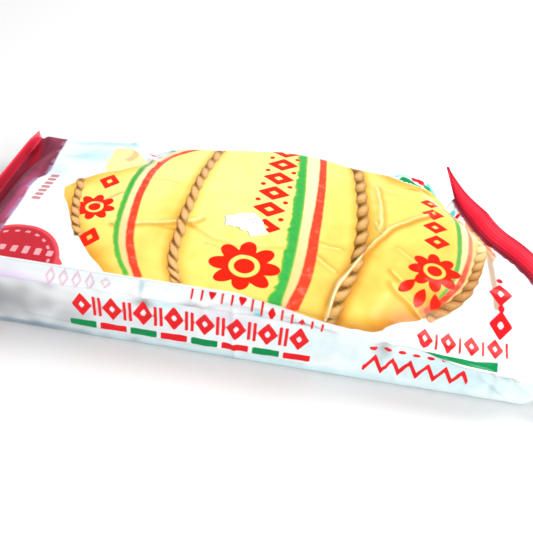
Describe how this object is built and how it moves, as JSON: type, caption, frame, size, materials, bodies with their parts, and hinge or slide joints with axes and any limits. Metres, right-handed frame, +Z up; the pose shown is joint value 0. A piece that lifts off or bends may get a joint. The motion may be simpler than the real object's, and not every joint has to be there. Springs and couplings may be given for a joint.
{
  "type": "flow-wrapped cheese pack",
  "caption": "Shut printed film pack of a cheese block lying flat, with pressed end seals and a torn label scrap on top.",
  "frame": {"origin": "middle of the wrapped block's flat underside", "axes": "+X along the pack from the left end seal to the right one, -Y the front wall, +Z up out of the printed top"},
  "size_m": [0.2095, 0.1069, 0.0299],
  "materials": {
    "printed_film": "glossy printed film: yellow cheese picture on white, red ends, soft creases",
    "label_paper": "matt white torn paper"
  },
  "bodies": {
    "root": {"film_pack": "printed_film", "label_scrap": "label_paper"}
  },
  "joints": []
}
